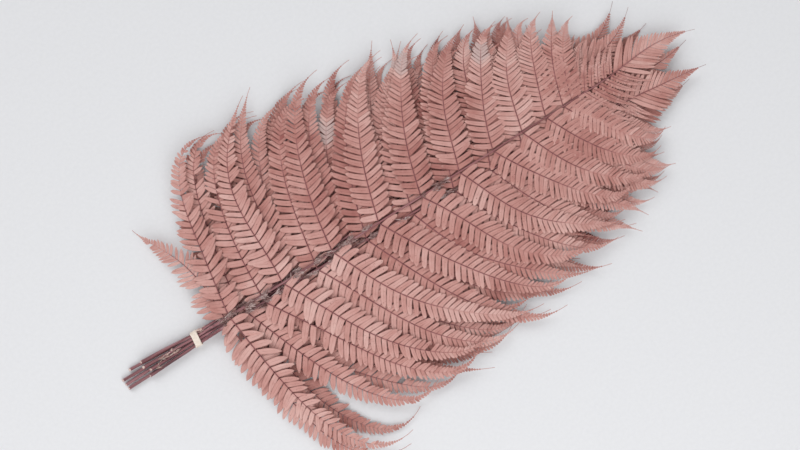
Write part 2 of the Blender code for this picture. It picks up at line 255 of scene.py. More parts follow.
def rachis_heading(plan, x):
    """Direction of a frond's stem in plan, as an angle from +X."""
    step = 0.001
    return np.arctan2(rachis_y(plan, x + step) - rachis_y(plan, x - step), 2 * step)


def pinna_roots(plan):
    """Where the pairs of pinnae leave the rachis: 55 mm apart low down, closer near the tip."""
    first = BLADE_START_X + plan["shift"]
    last = LAST_PINNA_X * plan["reach"]
    roots = [STRAY_ROOT_X] if "stray" in plan else []
    for pair in range(plan["pairs"]):
        share = pair / (plan["pairs"] - 1)
        roots.append(mix(first, last, 1.0 - (1.0 - share) ** 1.6))
    return roots


def pinna_shape(plan, root_x, side, draw):
    """Length, start angle, end angle and curl of one pinna; side is 1 for +Y and -1 for -Y."""
    share = (root_x - BLADE_START_X) / (FROND_TIP_X * plan["reach"] - BLADE_START_X)
    share = min(max(share, 0.0), 1.0)
    low_down = 1.0 - float(smooth((share - 0.12) / 0.26))
    sway = draw.uniform(-2.0, 2.0)
    trim = draw.uniform(0.95, 1.0)
    if side > 0:
        length = UPPER_LENGTH * (1.0 - share ** 1.8) ** 0.95
        start = mix(*UPPER_START, low_down)
        end = mix(*UPPER_END, low_down)
    else:
        length = LOWER_LENGTH * (1.0 - share ** 1.7) ** 0.9
        start = mix(*LOWER_START, low_down) + LOWEST_TURN * (1.0 - float(smooth(share / 0.04)))
        end = mix(*LOWER_END, low_down)
    return {"length": length * plan["width"] * trim, "start": math.radians(start + sway),
            "end": math.radians(end + sway), "curl": mix(*PINNA_CURL, low_down)}


def stray_shape():
    """The lowest pinna on the left, which hangs back towards the band."""
    start, end = (math.radians(angle) for angle in STRAY_ANGLES)
    return {"length": STRAY_LENGTH, "start": start, "end": end, "curl": 1.0}


def rib_line(plan, root_x, side, shape, hook=0.0, wander=0.0, count=80):
    """A pinna's rib in plan: places, directions and distances from the rachis.

    The last part hooks forwards by the angle hook, and the whole rib wanders a little.
    """
    heading = float(rachis_heading(plan, root_x))
    radius = float(stem_diameter(root_x)) / 2
    length = shape["length"] * TAIL
    distance = np.linspace(0.0, length, count)

    def turn(share):
        bent = mix(shape["start"], shape["end"], share ** shape["curl"])
        bent = bent - hook * smooth((share - 0.70) / 0.30) ** 1.3
        return heading + side * bent + wander * np.sin(share * 7.5 + wander * 60.0)

    share = distance / length
    along = turn((share[1:] + share[:-1]) / 2)
    step = length / (count - 1)
    start_x = root_x - math.sin(heading) * side * radius * 0.5
    start_y = float(rachis_y(plan, root_x)) + math.cos(heading) * side * radius * 0.5
    x = start_x + np.concatenate([[0.0], np.cumsum(np.cos(along) * step)])
    y = start_y + np.concatenate([[0.0], np.cumsum(np.sin(along) * step)])
    return {"x": x, "y": y, "direction": turn(share), "distance": distance, "length": length}


def leaflet_reach(share, half_width):
    """Length of the leaflets along a pinna: short at its foot, then long, then fading to a tail."""
    foot = mix(0.80, 1.0, smooth(share / 0.14))
    return half_width * foot * np.maximum(0.0, 1.0 - (share / LEAFY_SHARE) ** 2.2) ** 1.15


class Surface:
    """Gathers points and faces, with one tint for each point, into a mesh."""

    def __init__(self):
        self.points = []
        self.faces = []
        self.tints = []
        self.count = 0

    def add(self, points, faces, tone, along, across):
        """Adds points (n, 3) and faces; tone, along and across are the tint's three parts."""
        tint = np.ones((len(points), 4))
        tint[:, 0] = tone
        tint[:, 1] = along
        tint[:, 2] = across
        self.points.append(points)
        self.faces.append((faces + self.count).tolist())
        self.tints.append(tint)
        self.count += len(points)

    def to_object(self, name, material):
        """One smooth-shaded object of everything added."""
        points = np.concatenate(self.points)
        points[:, 2] = np.maximum(points[:, 2], LOWEST_POINT)
        faces = [face for block in self.faces for face in block]
        mesh = bpy.data.meshes.new(name)
        mesh.from_pydata(points.tolist(), [], faces)
        layer = mesh.color_attributes.new("tint", "FLOAT_COLOR", "POINT")
        layer.data.foreach_set("color", np.concatenate(self.tints).astype(np.float32).ravel())
        mesh.shade_smooth()
        mesh.materials.append(material)
        made = bpy.data.objects.new(name, mesh)
        bpy.context.scene.collection.objects.link(made)
        return made


def leaflet_grid(grid):
    """A leaflet's net: u from foot to tip, v from edge to edge, and its faces."""
    rows, columns = grid
    u = np.linspace(0.0, 1.0, rows + 1)
    u = mix(u, np.sin(u * math.pi / 2), 0.45)
    v = np.linspace(-1.0, 1.0, columns + 1)
    faces = []
    for row in range(rows):
        for column in range(columns):
            first = row * (columns + 1) + column
            faces.append([first, first + columns + 1, first + columns + 2, first + 1])
    return np.repeat(u, columns + 1), np.tile(v, rows + 1), np.array(faces)


def blade_width(u, lance):
    """Half-width of a leaflet as a share of half its step: blunt and joined, or lance-shaped."""
    blunt_end = np.sqrt(np.clip(1.0 - np.clip((u - 0.74) / 0.26, 0.0, 1.0) ** 2.6, 0.0, 1.0))
    blunt = mix(1.04, 0.84, smooth((u - 0.04) / 0.22)) * mix(1.0, 0.92, u) * np.maximum(blunt_end, 0.06)
    lance_end = np.clip(1.0 - np.clip((u - 0.50) / 0.50, 0.0, 1.0) ** 2.1, 0.03, 1.0)
    pointed = mix(0.66, 0.88, smooth(u / 0.35)) * lance_end
    return mix(blunt, pointed, lance)


def pale_share(x, y):
    """How much a leaflet at this place shows its greyish underside."""
    share = 0.0
    for place_x, place_y in PALE_PLACES:
        share = max(share, 1.0 - math.hypot(x - place_x, y - place_y) / PALE_RADIUS)
    return min(1.0, share * 2.0)


def add_leaflet(frond, surface, net, root, heading, forward, reach, step, look, draw):
    """One leaflet: its foot on the rib at root, pointing along heading, bowed towards forward.

    Its foot is joined along the rib, so its cross lines turn from the rib's direction to its own.
    """
    u, v, faces = net
    half = blade_width(u, look["lance"]) * step / 2
    twist = look["twist"] + draw.normal(0.0, look["unrest"] * TWIST_SPREAD)
    bow = reach * (look["bow"] + draw.uniform(-BOW_SPREAD, BOW_SPREAD)) * u ** 2.0
    along = u * reach
    across = v * half
    flat_across = across * math.cos(twist)
    ahead = math.sin(forward - heading)
    turned = ahead < 0.0
    side_x = math.sin(heading) if turned else -math.sin(heading)
    side_y = -math.cos(heading) if turned else math.cos(heading)
    own = smooth(u / FOOT_SHARE)
    stretch = 1.0 / max(SHARPEST_FOOT, abs(ahead))
    side_x = mix(math.cos(forward) * stretch, side_x, own)
    side_y = mix(math.sin(forward) * stretch, side_y, own)
    x = root[0] + math.cos(heading) * along + side_x * flat_across + math.cos(forward) * bow
    y = root[1] + math.sin(heading) * along + side_y * flat_across + math.sin(forward) * bow
    size = reach / PINNA_HALF_WIDTH
    relief = RIB_RISE * 0.8 + size * DOME_RISE * np.sin(np.clip(u * 2.4, 0.0, math.pi))
    relief -= EDGE_DROOP * step * v ** 2 * smooth(u / 0.25)
    relief += across * math.sin(twist) * smooth(u / 0.5)
    relief -= size * draw.uniform(*TIP_DROOP) * u ** 3
    relief += look["roll"] * along * look["hand"] + look["lift"]
    z = layer_height(frond, x, y) + relief
    tone = look["tone"] + draw.normal(0.0, TONE_SPREAD)
    tone = mix(min(max(tone, DARKEST_TONE), LIGHTEST_TONE), PALE_TONE, look["pale"])
    if turned:
        faces = faces[:, ::-1]
    surface.add(np.stack([x, y, z], axis=1), faces, tone, u, v * 0.5 + 0.5)


def add_leaflets(frond, surface, line, side, draw, net, half_width, low_down, unrest, fullness=1.0):
    """Leaflets in pairs along a rib, each lying just over the blade's layer."""
    length = line["length"]
    size = min(max(length / FULL_PINNA, 0.12), 1.1)
    roll = draw.normal(0.0, 0.03)
    # The leaf tone holds random tone and painted shade: lower fronds are painted darker
    tone = MIDDLE_TONE + draw.normal(0.0, TONE_SPREAD) - PAINTED_SHADE_PER_LAYER * (frond - 1)
    rise = abs(draw.normal(0.0, 0.0016)) if frond == 1 else abs(draw.normal(0.0, 0.0005))
    distance = mix(0.0006, 0.0016, size)
    while distance < length * LEAFY_SHARE:
        share = distance / length
        step = mix(LEAFLET_STEP, LEAFLET_STEP_AT_TIP, share ** 1.6) * mix(0.22, 1.0, size)
        step *= draw.uniform(0.94, 1.06)
        centre = distance + step / 2
        x = float(np.interp(centre, line["distance"], line["x"]))
        y = float(np.interp(centre, line["distance"], line["y"]))
        direction = float(np.interp(centre, line["distance"], line["direction"]))
        pale = pale_share(x, y) if frond < 6 else 0.0
        restless = unrest * mix(1.0, 0.6, share)
        for hand in (1, -1):
            reach = float(leaflet_reach(share, half_width)) * draw.uniform(0.92, 1.04)
            reach = max(reach, 0.0006) * mix(1.0, draw.uniform(0.9, 1.12), low_down)
            leans = LEAN_AHEAD if hand * side > 0 else LEAN_BEHIND
            lean = math.radians(mix(*leans, share ** 0.8) + draw.normal(0.0, 1.6 + 7.0 * restless))
            look = {"hand": hand, "bow": LEAFLET_BOW, "roll": roll, "tone": tone, "pale": pale,
                    "lance": min(1.0, 0.12 + low_down * 0.62), "unrest": restless,
                    "twist": hand * side * LEAFLET_TWIST,
                    "lift": rise * float(smooth((share - 0.35) / 0.6))}
            if restless > 0.3 and draw.random() < MISSING_SHARE:
                continue
            width = step * math.sin(lean) * mix(1.0, 1.08, low_down) * fullness
            add_leaflet(frond, surface, net, (x, y), direction + hand * lean, direction, reach,
                        width, look, draw)
        distance += step


def tube_rings(points, radii, sides, groove=0.0, phase=0.0):
    """Rings of points round a line, and the ring's own directions; the section may be grooved."""
    tangent = np.gradient(points, axis=0)
    tangent /= np.linalg.norm(tangent, axis=1)[:, None]
    across = np.cross(np.array([0.0, 0.0, 1.0]), tangent)
    across /= np.linalg.norm(across, axis=1)[:, None]
    up = np.cross(tangent, across)
    angle = np.arange(sides) / sides * 2 * math.pi
    section = 1.0 + groove * (0.6 * np.cos(3 * angle + phase) + 0.4 * np.cos(5 * angle + 2 * phase))
    ring = np.cos(angle)[None, :, None] * across[:, None, :]
    ring = ring + np.sin(angle)[None, :, None] * up[:, None, :]
    reach = np.asarray(radii)[:, None, None] * section[None, :, None]
    return points[:, None, :] + ring * reach, angle


def add_tube(surface, points, radii, sides, tone, groove=0.0, phase=0.0, slant=0.0, cap_tone=None):
    """A round tube through points, closed at both ends; its first end may be cut on a slant."""
    points = np.asarray(points, dtype=float)
    rings, angle = tube_rings(points, radii, sides, groove, phase)
    rings[0, :, 0] += slant * (rings[0, :, 2] - points[0, 2])
    rows = len(points)
    faces = []
    for row in range(rows - 1):
        for index in range(sides):
            ahead = (index + 1) % sides
            faces.append([row * sides + index, row * sides + ahead,
                          (row + 1) * sides + ahead, (row + 1) * sides + index])
    along = np.repeat(np.linspace(0.0, 1.0, rows), sides)
    around = np.tile(angle / (2 * math.pi), rows)
    surface.add(rings.reshape(-1, 3), np.array(faces), tone, along, around)
    cap_tone = tone if cap_tone is None else cap_tone
    for row in (0, rows - 1):
        rim = rings[row]
        inner = mix(points[row], rim, 0.55)
        if row == 0:
            inner[:, 0] += 0.0002 if slant else 0.0
        block = np.concatenate([rim, inner, [points[row]]])
        faces = []
        closing = []
        for index in range(sides):
            ahead = (index + 1) % sides
            faces.append([index, ahead, sides + ahead, sides + index])
            closing.append([sides + index, sides + ahead, 2 * sides])
        if row == 0:
            faces = [face[::-1] for face in faces]
            closing = [face[::-1] for face in closing]
        across = np.concatenate([np.full(sides, 1.0), np.full(sides, 0.5), [0.0]])
        start = surface.count
        surface.add(block, np.array(faces), cap_tone, float(row > 0), across)
        surface.faces.append([[start + index for index in face] for face in closing])


def add_rib(frond, surface, line, radius, tip_radius, every, sides):
    """A pinna's rib, which thins to a hair at the tip."""
    share = (line["distance"] / line["length"])[::every]
    x = line["x"][::every]
    y = line["y"][::every]
    z = layer_height(frond, x, y) + RIB_RISE * 0.9
    radii = mix(radius, tip_radius, share ** 0.9)
    add_tube(surface, np.stack([x, y, z], axis=1), radii, sides, 0.5)


def add_terminal(frond, plan, leaflets, ribs, last_root, draw, nets):
    """The tip beyond the last pinnae: short pinnae, then single lobes, down to a toothed tail."""
    start = last_root + TERMINAL_START
    reach = FROND_TIP_X * plan["reach"] - start
    distance = 0.0
    # Painted shade: lower fronds are painted darker
    tone = MIDDLE_TONE - PAINTED_SHADE_PER_LAYER * (frond - 1)
    while distance < reach * LOBED_SHARE:
        share = distance / reach
        step = mix(TERMINAL_STEP, TERMINAL_STEP_AT_TIP, share ** 0.9)
        x = start + distance
        for side in (1, -1):
            length = TERMINAL_REACH * (1.0 - share / 0.95) ** 1.25 * draw.uniform(0.92, 1.06) + 0.0005
            length *= 1.0 if side > 0 else 1.15
            angles = (math.radians(mix(66.0, 50.0, share)), math.radians(mix(38.0, 30.0, share)))
            shape = {"length": length, "start": angles[0], "end": angles[1], "curl": 1.3}
            line = rib_line(plan, x, side, shape, count=25)
            if length > TERMINAL_LOBE:
                half_width = step * 0.55
                add_leaflets(frond, leaflets, line, side, draw, nets["tiny"], half_width, 0.0, 0.0, 1.25)
                add_rib(frond, ribs, line, *TINY_RIB_RADII, 4, 5)
            else:
                look = {"hand": 1, "bow": LOBE_BOW, "roll": 0.0, "tone": tone, "pale": 0.0,
                        "lance": 0.42, "unrest": 0.3, "twist": LEAFLET_TWIST, "lift": 0.0}
                root = (x, float(rachis_y(plan, x)))
                heading = float(line["direction"][8]) + draw.normal(0.0, 0.04)
                ahead = float(rachis_heading(plan, x))
                width = step * 1.10 * math.sin(abs(heading - ahead))
                add_leaflet(frond, leaflets, nets["own"], root, heading, ahead, length, width,
                            look, draw)
        distance += step


def build_frond(frond, plan, materials):
    """Leaflets, ribs and stem of one frond, in three pieces."""
    draw = np.random.default_rng(plan["seed"])
    plan_draw = random.Random(plan["seed"])
    nets = {"own": leaflet_grid(FINE_GRID if frond in FINE_FRONDS else PLAIN_GRID),
            "tiny": leaflet_grid(TINY_GRID)}
    leaflets = Surface()
    ribs = Surface()
    roots = pinna_roots(plan)
    for side in (1, -1):
        for root_x in roots:
            shape = pinna_shape(plan, root_x, side, plan_draw)
            low_down = 1.0 - float(smooth((root_x - 0.035) / 0.11))
            unrest = (0.25 + 0.75 * low_down) if frond == 1 else 0.18 + 0.3 * low_down
            if root_x == STRAY_ROOT_X and side > 0:
                shape = stray_shape()
            hook = draw.uniform(0.25, 1.0) if draw.random() > 0.12 else draw.uniform(-0.5, 0.1)
            if root_x == STRAY_ROOT_X:
                hook *= 0.3
            line = rib_line(plan, root_x, side, shape, hook, draw.normal(0.0, 0.05))
            half_width = min(PINNA_HALF_WIDTH, 0.2 * shape["length"])
            add_leaflets(frond, leaflets, line, side, draw, nets["own"], half_width, low_down, unrest)
            radius = mix(SHORT_RIB_RADIUS, RIB_RADIUS, min(1.0, shape["length"] / FULL_PINNA))
            add_rib(frond, ribs, line, radius, RIB_TIP_RADIUS, 2, 6)
    add_terminal(frond, plan, leaflets, ribs, roots[-1], draw, nets)
    leaf_piece = leaflets.to_object("frond_%d_leaflets" % frond, materials["leaf"])
    rib_piece = ribs.to_object("frond_%d_ribs" % frond, materials["rib"])
    stem_piece = build_stem(frond, plan, materials["stem"], draw)
    for piece in (leaf_piece, rib_piece, stem_piece):
        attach(piece, "root")
    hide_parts("frond_%d" % frond)


def build_stem(frond, plan, material, draw):
    """The cut stipe and the rachis it becomes, with a pale slanting cut."""
    surface = Surface()
    end_x = FROND_TIP_X * plan["reach"]
    x = np.concatenate([np.linspace(plan["cut"][0], 0.05, 60), np.linspace(0.052, end_x, 130)])
    y = rachis_y(plan, x)
    z = layer_height(frond, x, y)
    loose = smooth((-0.006 - x) / 0.02) + smooth((x - 0.008) / 0.02)
    phase = draw.uniform(0.0, 6.28)
    y = y + 0.00022 * loose * np.sin(x / 0.011 + phase)
    radius = stem_diameter(x) / 2 * (1.0 + 0.03 * np.sin(x / 0.004 + phase))
    last_x = LAST_PINNA_X * plan["reach"]
    thin = smooth((x - last_x) / (end_x - last_x))
    radius = mix(radius, STEM_TIP_RADIUS, thin ** 1.3)
    z = z + STEM_LIFT * smooth(thin / 0.1)
    tone = 0.35 + 0.3 * draw.random()
    add_tube(surface, np.stack([x, y, z], axis=1), radius, 16, tone, groove=0.05, phase=phase,
             slant=draw.uniform(0.5, 1.1), cap_tone=1.0)
    return surface.to_object("frond_%d_stem" % frond, material)


def add_flake(surface, place, heading, length, width, curl, lean, tone, draw):
    """A thin curled scale or fibre: a strip of four cells that rises and narrows to its tip."""
    share = np.linspace(0.0, 1.0, 5)
    turn = heading + curl * share
    middle = np.zeros((5, 3))
    for index in range(1, 5):
        angle = turn[index - 1]
        ahead = np.array([math.cos(angle), math.sin(angle), lean * share[index]])
        middle[index] = middle[index - 1] + ahead * (length / 4)
    middle[:, 2] += width * 0.4 * np.sin(share * math.pi * 2 + draw.uniform(0.0, 6.28))
    half = width / 2 * (1.0 - share ** 2.2) * mix(0.5, 1.0, smooth(share / 0.3)) + 0.00004
    roll = draw.uniform(-0.7, 0.7)
    side = np.stack([-np.sin(turn) * math.cos(roll), np.cos(turn) * math.cos(roll),
                     np.full(5, math.sin(roll))], axis=1)
    sideways = side * half[:, None]
    points = np.concatenate([middle - sideways, middle + sideways]) + np.array(place)
    faces = np.array([[index, index + 1, index + 6, index + 5] for index in range(4)])
    across = np.concatenate([np.zeros(5), np.ones(5)])
    surface.add(points, faces, tone, np.tile(share, 2), across)


def build_scales(material):
    """Grey-brown papery scales and fibres in ragged tufts on the rachises, thickest low down."""
    draw = np.random.default_rng(SCALE_SEED)
    surface = Surface()
    for _ in range(SCALE_TUFTS):
        tuft_x = mix(*SCALE_RANGE, draw.random() ** 1.5)
        frond = int(draw.integers(1, 5))
        plan = FRONDS[frond - 1]
        spread = mix(0.0012, 0.0008, min(1.0, tuft_x / 0.2))
        tuft_y = draw.normal(0.0, spread)
        tuft_heading = draw.normal(0.0, 0.3) + (math.pi if draw.random() < 0.25 else 0.0)
        shade = draw.uniform(0.15, 0.85)
        for _ in range(int(draw.integers(8, 26))):
            x = tuft_x + draw.normal(0.0, 0.0020)
            y = float(rachis_y(plan, x)) + tuft_y + draw.normal(0.0, 0.0006)
            z = float(layer_height(frond, x, y)) + float(stem_diameter(x)) * 0.45
            z += abs(draw.normal(0.0, 0.0005))
            heading = float(rachis_heading(plan, x)) + tuft_heading + draw.normal(0.0, 0.35)
            length = draw.uniform(0.0015, 0.0058)
            width = draw.uniform(0.0003, 0.0017) * mix(1.0, 0.6, length / 0.0058)
            tone = min(1.0, max(0.0, shade + draw.normal(0.0, 0.18)))
            add_flake(surface, (x, y, z), heading, length, width, draw.normal(0.0, 0.5),
                      draw.uniform(-0.05, 0.16), tone, draw)
    return surface.to_object("rachis_scales", material)


def build_chaff(material):
    """Pale peeled strips on the upper stipes and a small tuft beside the band."""
    draw = np.random.default_rng(CHAFF_SEED)
    surface = Surface()
    top = UPPER_ROW_Z + STIPE_DIAMETER * 0.5
    for place_x, place_y, count in CHAFF_PATCHES:
        for _ in range(count):
            x = place_x + draw.normal(0.0, 0.0018)
            y = place_y + draw.normal(0.0, 0.0009)
            add_flake(surface, (x, y, top + draw.uniform(-0.0001, 0.0006)), draw.normal(0.0, 0.35),
                      draw.uniform(0.002, 0.0065), draw.uniform(0.0004, 0.0018), draw.normal(0.0, 0.3),
                      draw.uniform(0.0, 0.22), draw.random(), draw)
    return surface.to_object("stipe_chaff", material)


def build_band(material):
    """The elastic band: rounded edges, fine lengthwise ribs, and a slight slant."""
    around = 160
    half_y = 1.5 * STIPE_SPACING
    half_z = (UPPER_ROW_Z - LOWER_ROW_Z) / 2
    centre_z = (UPPER_ROW_Z + LOWER_ROW_Z) / 2
    inner = STIPE_DIAMETER / 2 + BAND_CLEARANCE
    profile = []
    steps = 18
    for index in range(steps + 1):
        share = index / steps * 2.0 - 1.0
        rib = 0.00005 * math.cos(share * 6.0 * math.pi)
        rounding = math.sqrt(max(0.0, 1.0 - max(0.0, (abs(share) - 0.86) / 0.14) ** 2))
        rise = (BAND_THICKNESS - 0.0001 + rib) * rounding
        profile.append((share * BAND_HALF_WIDTH, inner + rise))
    for index in range(5):
        share = 1.0 - index / 4 * 2.0
        profile.append((share * (BAND_HALF_WIDTH - 0.0003), inner - 0.00005))
    corners = []
    quarters = ((half_y, half_z, 0.0), (-half_y, half_z, 90.0), (-half_y, -half_z, 180.0),
                (half_y, -half_z, 270.0))
    for corner_y, corner_z, first in quarters:
        for index in range(around // 4):
            angle = math.radians(first + 90.0 * index / (around // 4 - 1))
            corners.append((corner_y, corner_z, angle))
    surface = Surface()
    points = []
    tones = []
    for number, (corner_y, corner_z, angle) in enumerate(corners):
        turn = number / around * 2 * math.pi
        ripple = 0.00010 * math.sin(turn * 5.0)
        for offset, radius in profile:
            y = corner_y + radius * math.cos(angle)
            z = centre_z + corner_z + radius * math.sin(angle)
            x = offset * (1.0 + 0.05 * math.sin(turn * 3.0)) + BAND_SLANT * y + ripple
            points.append((x, y, max(z, 0.0)))
            tones.append((offset / BAND_HALF_WIDTH) * 0.5 + 0.5)
    per_ring = len(profile)
    faces = []
    for ring in range(len(corners)):
        ahead = (ring + 1) % len(corners)
        for index in range(per_ring):
            beyond = (index + 1) % per_ring
            faces.append([ring * per_ring + index, ahead * per_ring + index,
                          ahead * per_ring + beyond, ring * per_ring + beyond])
    surface.add(np.array(points), np.array(faces), 0.5, np.array(tones), 0.5)
    made = surface.to_object("elastic_band", material)
    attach(made, "root")
    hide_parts("tie_band")


class Shades:
    """Short ways to add nodes to a material's tree."""

    def __init__(self, name):
        self.material = bpy.data.materials.new(name)
        self.material.use_nodes = True
        self.tree = self.material.node_tree
        self.shader = self.tree.nodes["Principled BSDF"]

    def put(self, value, socket):
        """Links a socket, or sets a plain value."""
        if isinstance(value, bpy.types.NodeSocket):
            self.tree.links.new(value, socket)
        else:
            socket.default_value = value

    def tint(self):
        """Tone, along and across of the mesh's own tint."""
        source = self.tree.nodes.new("ShaderNodeVertexColor")
        source.layer_name = "tint"
        parts = self.tree.nodes.new("ShaderNodeSeparateColor")
        self.tree.links.new(source.outputs["Color"], parts.inputs["Color"])
        return parts.outputs["Red"], parts.outputs["Green"], parts.outputs["Blue"]

    def math(self, operation, first, second=0.0):
        """One step of arithmetic."""
        made = self.tree.nodes.new("ShaderNodeMath")
        made.operation = operation
        for index, value in enumerate((first, second)):
            self.put(value, made.inputs[index])
        return made.outputs[0]

    def between(self, value, low, high, to_low=0.0, to_high=1.0):
        """An eased change from to_low to to_high as value goes from low to high."""
        made = self.tree.nodes.new("ShaderNodeMapRange")
        made.interpolation_type = "SMOOTHSTEP"
        limits = (("Value", value), ("From Min", low), ("From Max", high), ("To Min", to_low),
                  ("To Max", to_high))
        for name, number in limits:
            self.put(number, made.inputs[name])
        return made.outputs["Result"]

    def place(self, scale):
        """Object coordinates stretched by scale (x, y, z)."""
        source = self.tree.nodes.new("ShaderNodeTexCoord")
        made = self.tree.nodes.new("ShaderNodeMapping")
        made.inputs["Scale"].default_value = scale
        self.tree.links.new(source.outputs["Object"], made.inputs["Vector"])
        return made.outputs["Vector"]

    def noise(self, scale, detail=3.0, roughness=0.55, stretch=(1.0, 1.0, 1.0)):
        """Noise of about 0.3 to 0.7."""
        made = self.tree.nodes.new("ShaderNodeTexNoise")
        for name, value in (("Scale", scale), ("Detail", detail), ("Roughness", roughness)):
            made.inputs[name].default_value = value
        self.tree.links.new(self.place(stretch), made.inputs["Vector"])
        return made.outputs["Fac"]

    def ramp(self, value, stops):
        """A colour ramp; stops are (place, colour)."""
        made = self.tree.nodes.new("ShaderNodeValToRGB")
        elements = made.color_ramp.elements
        elements[0].position, elements[0].color = stops[0]
        elements[1].position, elements[1].color = stops[-1]
        for place, colour in stops[1:-1]:
            elements.new(place).color = colour
        self.put(value, made.inputs["Fac"])
        return made.outputs["Color"]

    def blend(self, kind, share, first, second):
        """Mixes two colours."""
        made = self.tree.nodes.new("ShaderNodeMix")
        made.data_type = "RGBA"
        made.blend_type = kind
        for index, value in ((0, share), (6, first), (7, second)):
            self.put(value, made.inputs[index])
        return made.outputs[2]

    def bump(self, height, strength, distance):
        """Sets the shader's bump."""
        made = self.tree.nodes.new("ShaderNodeBump")
        made.inputs["Strength"].default_value = strength
        made.inputs["Distance"].default_value = distance
        self.put(height, made.inputs["Height"])
        self.tree.links.new(made.outputs["Normal"], self.shader.inputs["Normal"])

    def finish(self, colour, roughness, specular):
        """Sets colour, roughness and a plain specular level."""
        self.put(colour, self.shader.inputs["Base Color"])
        self.put(roughness, self.shader.inputs["Roughness"])
        self.shader.inputs["Specular IOR Level"].default_value = specular
        return self.material


def srgb(red, green, blue):
    """A linear colour from an sRGB one of 0 to 255."""
    values = []
    for value in (red, green, blue):
        share = value / 255
        values.append(share / 12.92 if share <= 0.04045 else ((share + 0.055) / 1.055) ** 2.4)
    return (*values, 1.0)


def leaf_material():
    """Dusty pink dried leaf: uneven dye, a vein, painted shade along the slit edges, pits and a papery
    bump.
    """
    shades = Shades("fern_leaf")
    tone, along, across = shades.tint()
    from_middle = shades.math("SUBTRACT", shades.math("MULTIPLY", across, 2.0), 1.0)
    from_middle = shades.math("ABSOLUTE", from_middle)
    dye = shades.noise(24.0, 4.0)
    blotch = shades.noise(150.0, 3.0)
    # The tint's tone carries random tone and the painted shade of the lower fronds
    level = tone
    for source, share in ((dye, 0.75), (blotch, 0.30)):
        change = shades.math("MULTIPLY", shades.math("SUBTRACT", source, 0.5), share)
        level = shades.math("ADD", level, change)
    level = shades.math("MINIMUM", level, 0.80)
    pale = shades.between(tone, 0.80, 0.90)
    base = shades.ramp(level, [
        (0.10, srgb(146, 85, 80)), (0.35, srgb(181, 127, 119)), (0.55, srgb(199, 150, 142)),
        (0.78, srgb(215, 174, 166))])
    base = shades.blend("MIX", shades.math("MULTIPLY", pale, 0.85), base, srgb(196, 172, 168))
    foot = shades.between(along, 0.0, 0.16, 0.28, 0.0)
    base = shades.blend("MIX", foot, base, srgb(160, 100, 95))
    tip = shades.between(along, 0.80, 1.0, 0.0, 0.28)
    base = shades.blend("MIX", tip, base, srgb(222, 186, 176))
    # Painted shade: both long edges of every leaflet darken, for the shadow in the slits between leaflets
    edge = shades.between(from_middle, 0.80, 1.0, 0.0, 0.30)
    base = shades.blend("MULTIPLY", edge, base, srgb(150, 92, 88))
    vein = shades.math("MULTIPLY", shades.between(from_middle, 0.0, 0.11, 1.0, 0.0),
                       shades.between(along, 0.06, 0.30))
    vein = shades.math("MULTIPLY", vein, shades.between(along, 0.55, 0.95, 1.0, 0.0))
    base = shades.blend("MULTIPLY", shades.math("MULTIPLY", vein, 0.32), base, srgb(160, 105, 100))
    pits = shades.between(shades.noise(620.0, 2.0), 0.66, 0.72, 0.0, 0.5)
    base = shades.blend("MULTIPLY", pits, base, srgb(140, 84, 80))
    swept_back = shades.math("MULTIPLY", from_middle, 2.4)
    side_veins = shades.math("SUBTRACT", shades.math("MULTIPLY", along, 9.0), swept_back)
    side_veins = shades.math("SINE", shades.math("MULTIPLY", side_veins, 6.283))
    height = shades.math("ADD", shades.math("MULTIPLY", side_veins, 0.12), shades.noise(1100.0, 2.0))
    height = shades.math("SUBTRACT", height, shades.math("MULTIPLY", vein, 0.6))
    shades.bump(height, 0.35, 0.0004)
    rough = shades.between(blotch, 0.3, 0.7, 0.72, 0.9)
    return shades.finish(base, rough, 0.22)


def rib_material():
    """The thin dark mauve rib of a pinna, which turns leaf-coloured at its tip."""
    shades = Shades("fern_rib")
    along = shades.tint()[1]
    streak = shades.noise(220.0, 3.0)
    colour = shades.ramp(streak, [(0.32, srgb(104, 58, 62)), (0.68, srgb(150, 98, 98))])
    tail = shades.between(along, 0.60, 0.92)
    colour = shades.blend("MIX", tail, colour, srgb(188, 130, 122))
    shades.bump(streak, 0.3, 0.0002)
    return shades.finish(colour, shades.between(streak, 0.3, 0.7, 0.55, 0.75), 0.3)


def stem_material():
    """Mauve to red-brown stipe with long streaks and a pale pithy cut."""
    shades = Shades("fern_stem")
    tone, along, across = shades.tint()
    streak = shades.noise(420.0, 4.0, 0.6, (0.05, 1.0, 1.0))
    stain = shades.noise(70.0, 3.0, 0.5, (0.3, 1.0, 1.0))
    level = shades.math("MULTIPLY", streak, 0.8)
    level = shades.math("ADD", level, shades.math("MULTIPLY", stain, 0.5))
    level = shades.math("ADD", level, shades.math("MULTIPLY", shades.math("SUBTRACT", tone, 0.5), 0.35))
    bark = shades.ramp(level, [
        (0.44, srgb(82, 44, 50)), (0.60, srgb(128, 80, 84)), (0.72, srgb(154, 108, 112)),
        (0.86, srgb(190, 152, 150))])
    upper = shades.between(along, 0.25, 0.70)
    bark = shades.blend("MIX", shades.math("MULTIPLY", upper, 0.45), bark, srgb(150, 92, 88))
    pores = shades.noise(900.0, 3.0)
    pith = shades.ramp(pores, [(0.35, srgb(190, 150, 140)), (0.62, srgb(240, 222, 212))])
    rim = shades.between(across, 0.75, 1.0, 0.0, 0.6)
    pith = shades.blend("MULTIPLY", rim, pith, srgb(150, 96, 90))
    colour = shades.blend("MIX", shades.between(tone, 0.85, 0.95), bark, pith)
    shades.bump(streak, 0.5, 0.0004)
    return shades.finish(colour, shades.between(stain, 0.3, 0.7, 0.42, 0.66), 0.4)


